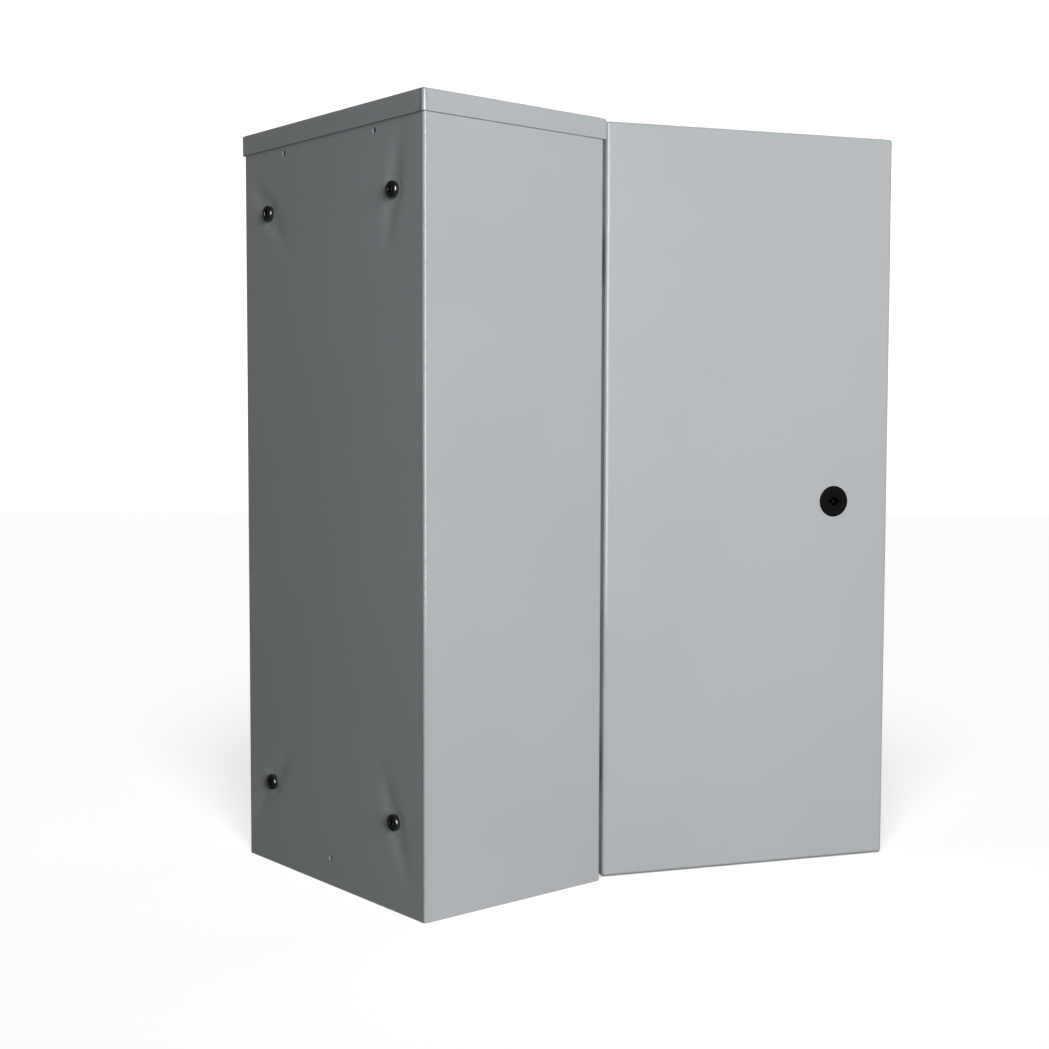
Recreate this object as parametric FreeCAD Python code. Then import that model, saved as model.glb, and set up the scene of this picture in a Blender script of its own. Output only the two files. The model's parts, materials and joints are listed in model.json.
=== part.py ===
import FreeCAD, Part
import math
import os

# Upright sheet-metal battery box with a hinged front door, a lift-off lid, two battery trays
# and a small terminal rail. Millimetres. The origin is at the centre of the body's footprint
# on its bottom face. +X is to the right seen from the front, +Y points to the back, +Z is up.
# The door is stored open, at the angle open_angle from closed.

os.makedirs("parts", exist_ok=True)
vec = FreeCAD.Vector
x_way = vec(1, 0, 0)
y_way = vec(0, 1, 0)
z_way = vec(0, 0, 1)

# Cabinet
body_width = 275.0
body_depth = 190.0
overall_height = 660.0
sheet = 1.5
bend_inside = 1.0            # inside radius of every fold in the cabinet and door sheet
end_corner_gap = 0.5         # corner notches of the bottom and top panels, past the bend
corner_return = 8.0          # how far the back panel runs round onto each side
flange_width = 35.5          # front flange, from the side face to the inside of the sealing lip
lip_reach = 14.7             # how far the sealing lip stands forward of the front flange
rail_height = 33.5           # bottom and top rails, to the open side of their lips
end_flange = 14.0            # upstand at the back of the bottom and top panels

# Lid
lid_skirt = 18.0
skirt_clearance = 0.3
lid_front_gap = 1.0
lid_seal_height = 1.5
lid_seal_width = 12.0
lid_seal_inset = 6.0
lid_stud_side = 37.5         # stud centre, in from the side face
lid_stud_end = 35.0          # stud centre, in from the front and back faces
lid_stud_length = 20.0

# Door
door_overlap = 1.8           # how far the door stands past each side face
door_depth = 18.0
door_gap = 6.5               # from the front flange to the rear edge of the closed door
door_foot_gap = 1.0
door_head_gap = 0.5
open_angle = 112.3
gasket_width = 10.0
gasket_round = 2.0
gasket_gap = 0.3             # gasket face to sealing lip with the door closed
stiffener_width = 50.0
stiffener_crown = 24.0
stiffener_depth = 9.0
stiffener_inset = 70.0       # from the ends of the door

# Hinges
hinge_inset = 7.385          # pivot, in from the side face
hinge_face_gap = 0.55        # arm's eye to the inside face of the closed door
hinge_end = 110.0            # hinge centres, from the bottom and from the top
pin_radius = 2.5
pin_head_radius = 3.8
pin_head_height = 1.5
pin_running_gap = 0.05       # pin in the arm's eye
pin_press_gap = 0.02         # pin in the bracket's ears
pin_tail = 2.0               # past the lower ear
arm_thickness = 3.0
thick_bend = 1.0             # inside radius of the bends in the arm and the cam
arm_height = 36.0
eye_wall = 1.7
arm_set = 0.5                # arm's front leg, forward of the pivot
arm_swing_gap = 2.1          # rear edge of the swinging door to the arm's rear leg
arm_foot = 12.5              # width of the arm's foot
ear_gap = 0.5                # arm to ear, along the pin
ear_thickness = 3.0
ear_margin = 1.0             # ear's round end, past the pin's head
ear_door_gap = 0.3           # ear to the inside face of the door
bracket_plate = 1.5
bracket_reach = 10.0         # bracket plate, behind the pivot
bracket_gap = 0.1            # bracket to the bend inside the door
hinge_screw_spread = 28.0
hinge_screw_side = 7.8       # screw centre, from the outer face of the arm's rear leg

# Lock
lock_edge = 55.4             # lock centre, from the door's free edge
lock_head_radius = 14.0
lock_head_height = 1.5
lock_head_bevel = 1.8        # rounded rim, across and up to lock_head_rim
lock_head_rim = 0.4
lock_head_round = (0.6, 0.35)   # middle of that round: in from the side, down from the face
lock_hole_gap = 0.1
lock_barrel_radius = 11.0
lock_length = 17.0           # barrel behind the inside face of the door
lock_shoulder = 8.0          # narrow part of the bore, from the barrel's end
lock_insert_radius = 7.4
lock_insert_recess = 0.5     # insert's face below the head's face
lock_shank_radius = 5.8
lock_running_gap = 0.08
lock_end_play = 0.3
lock_nut_radius = 13.0
lock_nut_height = 5.0
lock_notch_depth = 1.2
lock_notch_width = 3.0
key_depth = 9.0              # socket for the key: a round hole, a slot across it and a post
key_radius = 4.2
key_slot_reach = 6.0
key_slot_width = 2.2
key_post_radius = 1.5
key_post_drop = 0.6
cam_thickness = 3.0
cam_width = 16.0
cam_length = 45.0
cam_back = 8.0
cam_crank_start = 10.5
cam_crank_end = 16.5
cam_clearance = 0.8          # cam's tip to the back of the front flange, door closed
cam_square = 8.0
cam_tip_radius = 4.0
cam_washer_radius = 6.5
cam_washer_height = 1.2
cam_head_flats = 8.0
cam_head_height = 3.6

# Back wall
wall_bolt_side = 42.0        # bolt centre, in from the side face
wall_bolt_end = 74.0         # bolt centre, from the bottom and from the top
wall_bolt_radius = 4.0
wall_bolt_length = 35.0
wall_bolt_hole = 4.5
dimple_depth = 1.2           # the sheet is drawn in this far under each bolt head
dimple_seat = 8.0
dimple_radius = 19.0
wall_hole_radius = 2.5
top_hole_spacing = 139.0
top_hole_drop = 24.0         # below the top of the lid
bottom_hole_rise = 24.0

# Uprights behind the trays
upright_width = 42.0
upright_depth = 20.0
upright_sheet = 2.0
upright_end_gap = 45.0       # from the bottom and from the top
hole_row_offset = 10.0       # the two hole rows, either side of the upright's middle
hole_pitch = 25.0
hole_start = 58.0
upright_hole = 3.3

# Trays
tray_mouth_gap = 2.0         # tray to the sealing lip, each side, as it goes in
tray_sheet = 2.0
tray_front_gap = 27.0        # tray front, behind the front flange's outer face
tray_back_height = 48.0
tray_lip = 20.0
tray_shoulder = 18.0         # level stretch of the side lips beside the back flange
tray_hole_rise = 15.0        # lower screw hole above the tray's underside
lower_tray_hole = 3          # number of the upright hole that carries each tray
upper_tray_hole = 11
mat_thickness = 3.0
mat_edge = 14.0
mat_corner = 6.0
strap_slot_length = 30.0
strap_slot_width = 5.0
strap_slot_edge = 8.0

# Terminal rail and what clips to it
rail_hole_from_top = 1       # upright holes above the one that carries the rail
rail_tall = 35.0
rail_depth = 7.5
rail_sheet = 1.0
rail_foot = 4.5
clip_gap = 0.1               # clips to the rail's edges
clip_hook = 3.0
clip_grip = 2.5              # hooks behind the rail's edges
breaker_width = 36.0
breaker_height = 85.0
breaker_depth = 44.0
breaker_nose_height = 45.0
breaker_nose_depth = 22.0
breaker_centre = -42.0
breaker_wall = 3.0           # either side of the handle's well
breaker_screw_radius = 3.2
breaker_screw_depth = 12.0
breaker_mouth_radius = 4.5
breaker_mouth_depth = 14.0
breaker_mouth_inset = 22.0   # wire mouths, behind the shoulder
breaker_seam = 0.6
breaker_seam_depth = 0.8
toggle_radius = 6.0
toggle_gap = 0.3
toggle_inset = 4.0           # toggle's axis, behind the face of the nose
toggle_length = 12.0
toggle_thickness = 3.5
toggle_step = 2.0            # barrel's ends, past the lever's
toggle_tip_radius = 1.2
toggle_off_angle = 25.0      # below square to the breaker's face
terminal_width = 8.0
terminal_height = 42.0
terminal_depth = 38.0
terminal_count = 4
terminal_first = 4.0
terminal_gap = 0.2
terminal_bevel = 7.0
terminal_screw_radius = 2.4
terminal_screw_depth = 10.0
terminal_screw_side = 10.0   # screws, above and below the rail's middle
terminal_mouth_radius = 2.8
terminal_mouth_depth = 10.0
terminal_mouth_inset = 16.0
end_stop_width = 9.0
end_stop_depth = 20.0

# Cable entry
entry_length = 132.0
entry_width = 56.0
entry_centre_y = 20.0
gland_sheet = 2.0
gland_overlap = 12.0
gland_stud_length = 16.0
gland_corner = 5.0
grommet_bore = 8.0
grommet_body = 10.0
grommet_lip = 13.0
grommet_pitch = 36.0
grommet_under = 1.2
grommet_over = 2.0
grommet_bevel = 0.7

# Fasteners: (shank radius, head radius, head height, socket across flats, socket depth)
small_screw = (3.0, 5.25, 3.3, 4.0, 2.0)
large_bolt = (wall_bolt_radius, 7.0, 4.4, 5.0, 2.6)
# (bore radius, across flats, height, flange radius)
small_nut = (3.0, 10.0, 6.0, 7.1)
large_nut = (wall_bolt_radius, 13.0, 8.0, 8.9)
nut_flange_height = 1.2
nut_flange_slope = 1.0
nut_top_bevel = 0.2          # nut's top face, past its flats
button_rim = 0.555           # straight side of a round head, as a share of its height
button_crown = 0.72          # flat on a round head, as a share of its radius
button_bulge = (0.918, 0.707)  # middle of the round, as shares of radius and of the round's height
edge_break = 0.4             # small chamfers on screws, studs and pins
screw_hole_gap = 0.3
hinge_screw_radius = 2.0
hinge_head_radius = 4.0
hinge_screw_length = 12.0
hinge_socket_flats = 2.5
hinge_socket_depth = 1.6
hinge_nut = (hinge_screw_radius, 7.0, 4.2, 4.8)
tray_screw_length = 14.0
earth_stud_length = 18.0
earth_stud_radius = 3.0
earth_from_back = 60.0
earth_rise = 32.0            # above the bottom rail
earth_nut_gap = 3.0          # sheet to nut, for the cable lugs

near = 0.01                  # positions closer than this count as the same

# Worked-out planes and levels
half_width = body_width / 2
front = -body_depth / 2
back = body_depth / 2
inner_half = half_width - sheet
inner_front = front + sheet
inner_back = back - sheet
lid_under = overall_height - sheet
body_top = lid_under - lid_seal_height
lip_inside = half_width - flange_width
lip_end = front - lip_reach
side_end = back - corner_return
door_half = half_width + door_overlap
door_face = front - door_gap - door_depth
door_rear = front - door_gap
door_inside = door_face + sheet
door_bottom = door_foot_gap
door_top = overall_height - door_head_gap
pivot_x = -half_width + hinge_inset
eye_radius = pin_radius + pin_running_gap + eye_wall
pivot_y = door_inside + eye_radius + hinge_face_gap
swing_radius = math.hypot(hinge_inset + door_overlap, door_rear - pivot_y)
arm_turn = swing_radius + arm_swing_gap
hinge_levels = (hinge_end, overall_height - hinge_end)
lock_x = door_half - lock_edge
lock_z = (door_bottom + door_top) / 2
bolt_x = half_width - wall_bolt_side
bolt_levels = (wall_bolt_end, overall_height - wall_bolt_end)
bolt_seat = back - dimple_depth
rack_face = inner_back - upright_depth
tray_front = front + tray_front_gap
last_hole = overall_height - upright_end_gap - hole_pitch / 2
hole_count = int((last_hole - hole_start) / hole_pitch) + 1
rail_level = hole_start + (hole_count - 1 - rail_hole_from_top) * hole_pitch
tray_levels = {
    "lower": hole_start + lower_tray_hole * hole_pitch - tray_hole_rise,
    "upper": hole_start + upper_tray_hole * hole_pitch - tray_hole_rise,
}
rail_face = rack_face - rail_depth
inner_row = bolt_x - hole_row_offset
tray_half = lip_inside - tray_mouth_gap


# ---------- general helpers ----------

def box(low, high):
    size = high - low
    return Part.makeBox(size.x, size.y, size.z, low)


def rod(spot, way, length, radius):
    return Part.makeCylinder(radius, length, spot, way)


def hexagon(spot, way, length, across_flats):
    corner = across_flats / math.sqrt(3)
    ring = [vec(corner * math.cos(math.radians(60 * k)), corner * math.sin(math.radians(60 * k)), 0)
            for k in range(7)]
    prism = Part.Face(Part.makePolygon(ring)).extrude(vec(0, 0, length))
    return aimed(prism, spot, way)


def aimed(shape, spot, way):
    # Moves a shape from the origin to spot and turns its +Z to point along way.
    moved = shape.copy()
    moved.Placement = FreeCAD.Placement(spot, FreeCAD.Rotation(z_way, way))
    return moved


def edges_on(shape, axis, level):
    # Edges that lie in the plane where coordinate number axis equals level.
    return [e for e in shape.Edges if all(abs(v.Point[axis] - level) < near for v in e.Vertexes)]


def edges_along(edges, axis):
    # Of these straight edges, the ones that change in coordinate number axis.
    return [e for e in edges if abs(e.Vertexes[0].Point[axis] - e.Vertexes[1].Point[axis]) > near]


def joined(shapes):
    return shapes[0].multiFuse(shapes[1:]).removeSplitter()


def less(shape, cutters):
    return shape.cut(Part.makeCompound(cutters))


def mirrored_x(shape):
    return shape.mirror(vec(0, 0, 0), x_way)


def turned_profile(points, spot, way):
    # Revolves a closed outline of (radius, height) points or ready edges about +Z, then aims it.
    edges = []
    for start, end in zip(points, points[1:] + points[:1]):
        if len(end) == 4:
            middle = vec(end[2], 0, end[3])
            edges.append(Part.Arc(vec(start[0], 0, start[1]), middle, vec(end[0], 0, end[1])).toShape())
        else:
            edges.append(Part.LineSegment(vec(start[0], 0, start[1]), vec(end[0], 0, end[1])).toShape())
    ring = Part.Face(Part.Wire(edges)).revolve(vec(0, 0, 0), z_way, 360)
    return aimed(ring, spot, way)


def fold_runs(points, thickness, inside_radius):
    # Splits a sheet's centre line into straight runs and the round bends between them.
    bend = inside_radius + thickness / 2
    ways = [(b - a).normalize() for a, b in zip(points, points[1:])]
    starts = [points[0]]
    ends = []
    bends = []
    for corner, way_in, way_out in zip(points[1:-1], ways, ways[1:]):
        turn = way_in.getAngle(way_out)
        side = 1 if way_in.cross(way_out).z > 0 else -1
        reach = bend * math.tan(turn / 2)
        normal = vec(-way_in.y, way_in.x, 0) * side
        ends.append(corner - way_in * reach)
        starts.append(corner + way_out * reach)
        centre = corner - way_in * reach + normal * bend
        bends.append((centre, (corner - centre).normalize(), bend, side))
    ends.append(points[-1])
    return ways, starts, ends, bends


def folded_sheet(points, thickness, inside_radius, place, run):
    # Extrudes a folded sheet. points is its centre line in a plane, place maps that plane to the
    # model, and run is the extrusion.
    line = [vec(a, b, 0) for a, b in points]
    ways, starts, ends, bends = fold_runs(line, thickness, inside_radius)

    def path(offset):
        edges = []
        for k, way in enumerate(ways):
            normal = vec(-way.y, way.x, 0) * offset
            a = starts[k] + normal
            b = ends[k] + normal
            edges.append(Part.LineSegment(place(a), place(b)).toShape())
            if k < len(bends):
                centre, outward, bend, side = bends[k]
                next_normal = vec(-ways[k + 1].y, ways[k + 1].x, 0) * offset
                middle = centre + outward * (bend - side * offset)
                arc = Part.Arc(place(b), place(middle), place(starts[k + 1] + next_normal))
                edges.append(arc.toShape())
        return edges

    left = path(thickness / 2)
    right = path(-thickness / 2)
    first = vec(-ways[0].y, ways[0].x, 0) * (thickness / 2)
    last = vec(-ways[-1].y, ways[-1].x, 0) * (thickness / 2)
    caps = [
        Part.LineSegment(place(starts[0] + first), place(starts[0] - first)).toShape(),
        Part.LineSegment(place(ends[-1] + last), place(ends[-1] - last)).toShape(),
    ]
    outline = Part.Wire(Part.__sortEdges__(left + right + caps))
    return Part.Face(outline).extrude(run)


def folded_pan(low, high, thickness, inside_radius, open_side):
    # A shallow tray of sheet whose open_side ("+y", "-z" or "+z") has no wall.
    axis = "xyz".index(open_side[1])
    level = high[axis] if open_side[0] == "+" else low[axis]

    def rounded(a, b, radius):
        block = box(a, b)
        kept = [e for e in block.Edges if any(abs(v.Point[axis] - level) > near for v in e.Vertexes)]
        return block.makeFillet(radius, kept)

    outer = rounded(low, high, inside_radius + thickness)
    inner_low = vec(low.x + thickness, low.y + thickness, low.z + thickness)
    inner_high = vec(high.x - thickness, high.y - thickness, high.z - thickness)
    inner_low[axis] = low[axis] if open_side[0] == "-" else inner_low[axis]
    inner_high[axis] = high[axis] if open_side[0] == "+" else inner_high[axis]
    return outer.cut(rounded(inner_low, inner_high, inside_radius))


def button_screw(size, length, spot, way):
    # Round-headed socket screw: way is the direction that its head faces.
    shank, head, height, socket, depth = size
    rim = button_rim * height
    crown = button_crown * head
    bulge = (button_bulge[0] * head, rim + button_bulge[1] * (height - rim))
    outline = [(0, -length), (shank - edge_break, -length), (shank, edge_break - length), (shank, 0),
               (head, 0), (head, rim), (crown, height) + bulge, (0, height)]
    body = turned_profile(outline, spot, way)
    return body.cut(hexagon(spot + way * (height - depth), way, depth, socket))


def flange_nut(size, spot, way):
    # way points from the nut's bearing face to its free end.
    bore, flats, height, flange = size
    origin = vec(0, 0, 0)
    cone = [(0, 0), (flats, 0), (flats / 2 + nut_top_bevel, height), (0, height)]
    block = hexagon(origin, z_way, height, flats).common(turned_profile(cone, origin, z_way))
    slope_top = nut_flange_height + nut_flange_slope
    skirt = [(0, 0), (flange, 0), (flange, nut_flange_height), (flats / 2, slope_top), (0, slope_top)]
    nut = joined([block, turned_profile(skirt, origin, z_way)]).cut(rod(origin, z_way, height, bore))
    return aimed(nut, spot, way)


def opened(shape):
    # Swings a part of the closed door to the stored, open position.
    moved = shape.copy()
    moved.rotate(vec(pivot_x, pivot_y, 0), z_way, -open_angle)
    return moved


# ---------- cabinet ----------

def wall_dimple(x, z):
    # Disc of sheet drawn in under a bolt head: flat seat, then two equal arcs up to the wall.
    middle = (dimple_seat + dimple_radius) / 2
    quarter = (dimple_radius - dimple_seat) / 4
    half_run = 2 * quarter
    half_drop = dimple_depth / 2
    arc_radius = (half_run ** 2 + half_drop ** 2) / (2 * half_drop)
    lift = arc_radius - math.sqrt(arc_radius ** 2 - quarter ** 2)
    seat = -dimple_depth
    outer = [(wall_bolt_hole, seat), (dimple_seat, seat),
             (middle, seat + half_drop, dimple_seat + quarter, seat + lift),
             (dimple_radius, 0, middle + quarter, -lift)]
    inner = [(dimple_radius, -sheet),
             (middle, -half_drop - sheet, middle + quarter, -lift - sheet),
             (dimple_seat, seat - sheet, dimple_seat + quarter, seat + lift - sheet),
             (wall_bolt_hole, seat - sheet)]
    return turned_profile(outer + inner, vec(x, back, z), y_way)


def bolt_spots():
    return [(side * bolt_x, z) for side in (-1, 1) for z in bolt_levels]


def back_panel():
    edge = half_width - sheet / 2
    wall = back - sheet / 2
    points = [(-edge, side_end), (-edge, wall), (edge, wall), (edge, side_end)]
    panel = folded_sheet(points, sheet, bend_inside, lambda p: vec(p.x, p.y, 0), vec(0, 0, body_top))
    holes = [rod(vec(x, inner_back, z), y_way, sheet, dimple_radius) for x, z in bolt_spots()]
    holes.append(rod(vec(0, inner_back, bottom_hole_rise), y_way, sheet, wall_hole_radius))
    for side in (-1, 1):
        spot = vec(side * top_hole_spacing / 2, inner_back, overall_height - top_hole_drop)
        holes.append(rod(spot, y_way, sheet, wall_hole_radius))
    panel = less(panel, holes)
    return joined([panel] + [wall_dimple(x, z) for x, z in bolt_spots()])


def side_panel():
    # The left side with its front flange. The sealing lip stands forward between the rails.
    wall = -half_width + sheet / 2
    flange = front + sheet / 2
    lip = -lip_inside - sheet / 2
    plain = [(wall, side_end), (wall, flange), (-lip_inside, flange)]
    lipped = [(wall, side_end), (wall, flange), (lip, flange), (lip, lip_end)]
    lip_low = rail_height - sheet
    lip_high = body_top - lip_low

    def stretch(points, low, high):
        return folded_sheet(points, sheet, bend_inside, lambda p: vec(p.x, p.y, low),
                            vec(0, 0, high - low))

    return joined([stretch(plain, 0, lip_low), stretch(lipped, lip_low, lip_high),
                   stretch(plain, lip_high, body_top)])


def left_side_panel():
    holes = [rod(vec(hinge_screw_x(), front, z), y_way, sheet, hinge_screw_radius + screw_hole_gap)
             for z in hinge_screw_levels()]
    return less(side_panel(), holes)


def right_side_panel():
    return mirrored_x(side_panel())


def end_panel():
    # Floor with a rear upstand, a front rail and the rail's sealing lip.
    floor = sheet / 2
    rear = inner_back - sheet / 2
    rail = front + sheet / 2
    lip = rail_height - sheet / 2
    inset = bend_inside + end_corner_gap
    corner = inner_half - inset

    def stretch(points, low, high):
        return folded_sheet(points, sheet, bend_inside, lambda p: vec(low, p.x, p.y),
                            vec(high - low, 0, 0))

    rail_points = [(rear, end_flange), (rear, floor), (rail, floor), (rail, lip), (lip_end, lip)]
    wing_points = [(rear, end_flange), (rear, floor), (inner_front, floor)]
    pieces = [stretch(rail_points, -lip_inside, lip_inside)]
    for low, high in ((-corner, -lip_inside), (lip_inside, corner)):
        pieces.append(stretch(wing_points, low, high))
    for side in (-1, 1):
        edges = sorted((side * corner, side * inner_half))
        pieces.append(box(vec(edges[0], inner_front + inset, 0),
                          vec(edges[1], inner_back - inset, sheet)))
    return joined(pieces)


def bottom_panel():
    opening = box(vec(-entry_length / 2, entry_centre_y - entry_width / 2, 0),
                  vec(entry_length / 2, entry_centre_y + entry_width / 2, sheet))
    cutters = [opening]
    for x, y in gland_screw_spots():
        cutters.append(rod(vec(x, y, 0), z_way, sheet, small_screw[0] + screw_hole_gap))
    return less(end_panel(), cutters)


def lid_stud_spots():
    x = half_width - lid_stud_side
    y = back - lid_stud_end
    return [(side * x, end * y) for side in (-1, 1) for end in (-1, 1)]


def top_panel():
    panel = end_panel().mirror(vec(0, 0, body_top / 2), z_way)
    cutters = [rod(vec(x, y, body_top - sheet), z_way, sheet, small_screw[0] + screw_hole_gap)
               for x, y in lid_stud_spots()]
    return less(panel, cutters)


def lid():
    side = half_width + skirt_clearance + sheet
    low = vec(-side, front - lid_front_gap - sheet, overall_height - lid_skirt)
    high = vec(side, back + skirt_clearance + sheet, overall_height)
    return folded_pan(low, high, sheet, bend_inside, "-z")


def lid_seal():
    outer_x = half_width - lid_seal_inset
    outer_y = back - lid_seal_inset
    outer = box(vec(-outer_x, -outer_y, body_top), vec(outer_x, outer_y, lid_under))
    inner_x = outer_x - lid_seal_width
    inner_y = outer_y - lid_seal_width
    inner = box(vec(-inner_x, -inner_y, body_top), vec(inner_x, inner_y, lid_under))
    return outer.cut(inner)


def lid_studs():
    return Part.makeCompound([rod(vec(x, y, lid_under), -z_way, lid_stud_length, small_screw[0])
                              for x, y in lid_stud_spots()])


def lid_nuts():
    level = body_top - sheet
    return Part.makeCompound([flange_nut(small_nut, vec(x, y, level), -z_way)
                              for x, y in lid_stud_spots()])


# ---------- cable entry ----------

def gland_screw_spots():
    x = entry_length / 2 + gland_overlap / 2
    return [(side * x, entry_centre_y + end * entry_width / 2) for side in (-1, 1) for end in (-1, 1)]


def gland_plate():
    reach_x = entry_length / 2 + gland_overlap
    reach_y = entry_width / 2 + gland_overlap
    plate = box(vec(-reach_x, entry_centre_y - reach_y, sheet),
                vec(reach_x, entry_centre_y + reach_y, sheet + gland_sheet))
    plate = plate.makeFillet(gland_corner, edges_along(plate.Edges, 2))
    cutters = [rod(vec(x, entry_centre_y, sheet), z_way, gland_sheet, grommet_body)
               for x in grommet_places()]
    for x, y in gland_screw_spots():
        cutters.append(rod(vec(x, y, sheet), z_way, gland_sheet, small_screw[0] + screw_hole_gap))
    return less(plate, cutters)


def gland_plate_studs():
    # Studs pressed into the floor, flush underneath, that the gland plate drops over.
    root = small_screw[0] + screw_hole_gap
    thread = small_screw[0]
    top = gland_stud_length
    outline = [(0, 0), (root, 0), (root, sheet), (thread, sheet), (thread, top - edge_break),
               (thread - edge_break, top), (0, top)]
    return Part.makeCompound([turned_profile(outline, vec(x, y, 0), z_way)
                              for x, y in gland_screw_spots()])


def gland_plate_nuts():
    level = sheet + gland_sheet
    return Part.makeCompound([flange_nut(small_nut, vec(x, y, level), z_way)
                              for x, y in gland_screw_spots()])


def grommet_places():
    return [k * grommet_pitch for k in (-1, 0, 1)]


def cable_grommets():
    low = sheet - grommet_under
    plate_top = sheet + gland_sheet
    high = plate_top + grommet_over
    outline = [(grommet_bore, low), (grommet_lip - grommet_bevel, low), (grommet_lip, sheet),
               (grommet_body, sheet), (grommet_body, plate_top), (grommet_lip, plate_top),
               (grommet_lip - grommet_bevel, high), (grommet_bore, high)]
    return Part.makeCompound([turned_profile(outline, vec(x, entry_centre_y, 0), z_way)
                              for x in grommet_places()])


# ---------- uprights and trays ----------

def upright_hole_levels():
    levels = [hole_start + k * hole_pitch for k in range(hole_count)]
    clear = large_nut[3] + upright_hole
    return [z for z in levels if all(abs(z - bolt) > clear for bolt in bolt_levels)]


def upright(side):
    middle = side * bolt_x
    leg = upright_width / 2 - upright_sheet / 2
    web = rack_face + upright_sheet / 2
    points = [(middle - leg, inner_back), (middle - leg, web), (middle + leg, web),
              (middle + leg, inner_back)]
    length = overall_height - 2 * upright_end_gap
    channel = folded_sheet(points, upright_sheet, upright_sheet / 2,
                           lambda p: vec(p.x, p.y, upright_end_gap), vec(0, 0, length))
    holes = [rod(vec(middle, rack_face, z), y_way, upright_sheet, wall_bolt_hole) for z in bolt_levels]
    for z in upright_hole_levels():
        for offset in (-hole_row_offset, hole_row_offset):
            holes.append(rod(vec(middle + offset, rack_face, z), y_way, upright_sheet, upright_hole))
    return less(channel, holes)


def wall_bolts():
    return Part.makeCompound([button_screw(large_bolt, wall_bolt_length, vec(x, bolt_seat, z), y_way)
                              for x, z in bolt_spots()])


def wall_bolt_nuts():
    return Part.makeCompound([flange_nut(large_nut, vec(x, rack_face, z), -y_way)
                              for x, z in bolt_spots()])


def tray_screw_spots(level):
    low = level + tray_hole_rise
    return [(side * inner_row, z) for side in (-1, 1) for z in (low, low + hole_pitch)]


def tray(level):
    top = level + tray_back_height
    pan = folded_pan(vec(-tray_half, tray_front, level), vec(tray_half, rack_face, top),
                     tray_sheet, tray_sheet / 2, "+z")
    lip_top = level + tray_lip
    shoulder = rack_face - tray_shoulder
    taper = [(tray_front - 1, lip_top), (tray_front + tray_lip, lip_top), (shoulder, top),
             (shoulder, top + 1), (tray_front - 1, top + 1), (tray_front - 1, lip_top)]
    side_view = Part.makePolygon([vec(-tray_half - 1, y, z) for y, z in taper])
    cutters = [Part.Face(side_view).extrude(vec(2 * tray_half + 2, 0, 0))]
    for x, z in tray_screw_spots(level):
        cutters.append(rod(vec(x, rack_face - tray_sheet, z), y_way, tray_sheet, upright_hole))
    for side in (-1, 1):
        outer = side * (tray_half - strap_slot_edge)
        inner = outer - side * strap_slot_width
        for y in (tray_front + mat_edge, shoulder - mat_edge - strap_slot_length):
            cutters.append(box(vec(min(outer, inner), y, level),
                               vec(max(outer, inner), y + strap_slot_length, level + tray_sheet)))
    return less(pan, cutters)


def tray_mat(level):
    half = tray_half - mat_edge
    low = level + tray_sheet
    mat = box(vec(-half, tray_front + mat_edge / 2, low),
              vec(half, rack_face - mat_edge, low + mat_thickness))
    return mat.makeFillet(mat_corner, edges_along(mat.Edges, 2))


def tray_screws():
    face = rack_face - tray_sheet
    return Part.makeCompound([button_screw(small_screw, tray_screw_length, vec(x, face, z), -y_way)
                              for level in tray_levels.values() for x, z in tray_screw_spots(level)])


def tray_nuts():
    face = rack_face + upright_sheet
    return Part.makeCompound([flange_nut(small_nut, vec(x, face, z), y_way)
                              for level in tray_levels.values() for x, z in tray_screw_spots(level)])


# ---------- terminal rail ----------

def din_rail():
    top = rail_tall / 2
    foot = rail_face + rail_sheet / 2
    crown = rack_face - rail_sheet / 2
    turn = top - rail_foot
    end = bolt_x + upright_width / 2
    points = [(foot, -top), (foot, -turn), (crown, -turn), (crown, turn), (foot, turn), (foot, top)]
    rail = folded_sheet(points, rail_sheet, rail_sheet / 2,
                        lambda p: vec(-end, p.x, rail_level + p.y), vec(2 * end, 0, 0))
    face = rack_face - rail_sheet
    holes = [rod(vec(side * inner_row, face, rail_level), y_way, rail_sheet, upright_hole)
             for side in (-1, 1)]
    return less(rail, holes)


def rail_screws():
    face = rack_face - rail_sheet
    return Part.makeCompound([button_screw(small_screw, tray_screw_length,
                                           vec(side * inner_row, face, rail_level), -y_way)
                              for side in (-1, 1)])


def rail_nuts():
    face = rack_face + upright_sheet
    return Part.makeCompound([flange_nut(small_nut, vec(side * inner_row, face, rail_level), y_way)
                              for side in (-1, 1)])


def rail_clip(low_x, high_x):
    # Hooks that reach behind the rail's upper and lower edges.
    edge = rail_tall / 2
    hooks = []
    for side in (-1, 1):
        inner = rail_level + side * (edge + clip_gap)
        outer = rail_level + side * (edge + clip_hook)
        tip = rail_level + side * (edge - clip_grip)
        hook_end = rail_face + clip_hook
        hooks.append(box(vec(low_x, rail_face, min(inner, outer)),
                         vec(high_x, hook_end, max(inner, outer))))
        hooks.append(box(vec(low_x, rail_face + rail_sheet + clip_gap, min(tip, outer)),
                         vec(high_x, hook_end, max(tip, outer))))
    return hooks


def toggle_centre():
    return vec(0, rail_face - breaker_depth - breaker_nose_depth + toggle_inset, rail_level)


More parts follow.
